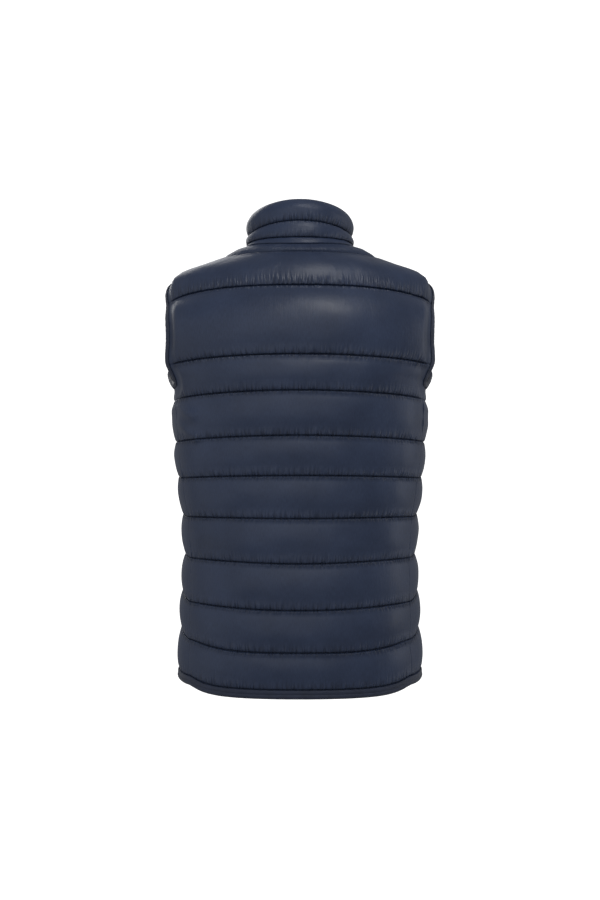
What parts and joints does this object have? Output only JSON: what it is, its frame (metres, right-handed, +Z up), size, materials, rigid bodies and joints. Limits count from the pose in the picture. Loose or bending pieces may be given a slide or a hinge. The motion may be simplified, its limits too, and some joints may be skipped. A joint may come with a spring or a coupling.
{
  "type": "padded vest, filled out as worn",
  "caption": "Sleeveless padded vest quilted in level chambers, with a stand-up collar, bound armholes and hem and a full-length front zip with a swinging pull tab.",
  "frame": {"origin": "between the two neck points, where the vest hangs on the wearer's shoulders", "axes": "+Z up along the wearer, -Y out of the zipped front, +Y out of the back, +X to the wearer's left"},
  "size_m": [0.4228, 0.265, 0.732],
  "materials": {
    "shell_nylon": "navy downproof nylon, fine plain weave, calendered to a soft gloss",
    "trim_nylon": "navy folded nylon strip and woven zip tape, duller than the shell",
    "zip_plastic": "navy moulded zip teeth",
    "slider_metal": "die-cast slider with a navy baked paint"
  },
  "bodies": {
    "vest": {"back": "shell_nylon", "front_left": "shell_nylon", "front_right": "shell_nylon", "neckband": "shell_nylon", "collar": "shell_nylon", "armhole_binding_left": "trim_nylon", "armhole_binding_right": "trim_nylon", "hem_binding": "trim_nylon", "zip_tape_left": "trim_nylon", "zip_tape_right": "trim_nylon", "zip_chain": "zip_plastic", "zip_box": "zip_plastic", "zip_slider": "slider_metal"},
    "pull": {"zip_pull": "slider_metal"}
  },
  "joints": [
    {"name": "pull_swing", "type": "hinge", "parent": "vest", "child": "pull", "pos_m": [0, -0.0803, -0.0063], "axis": [-1, 0, 0], "range_deg": [0, 165]}
  ]
}
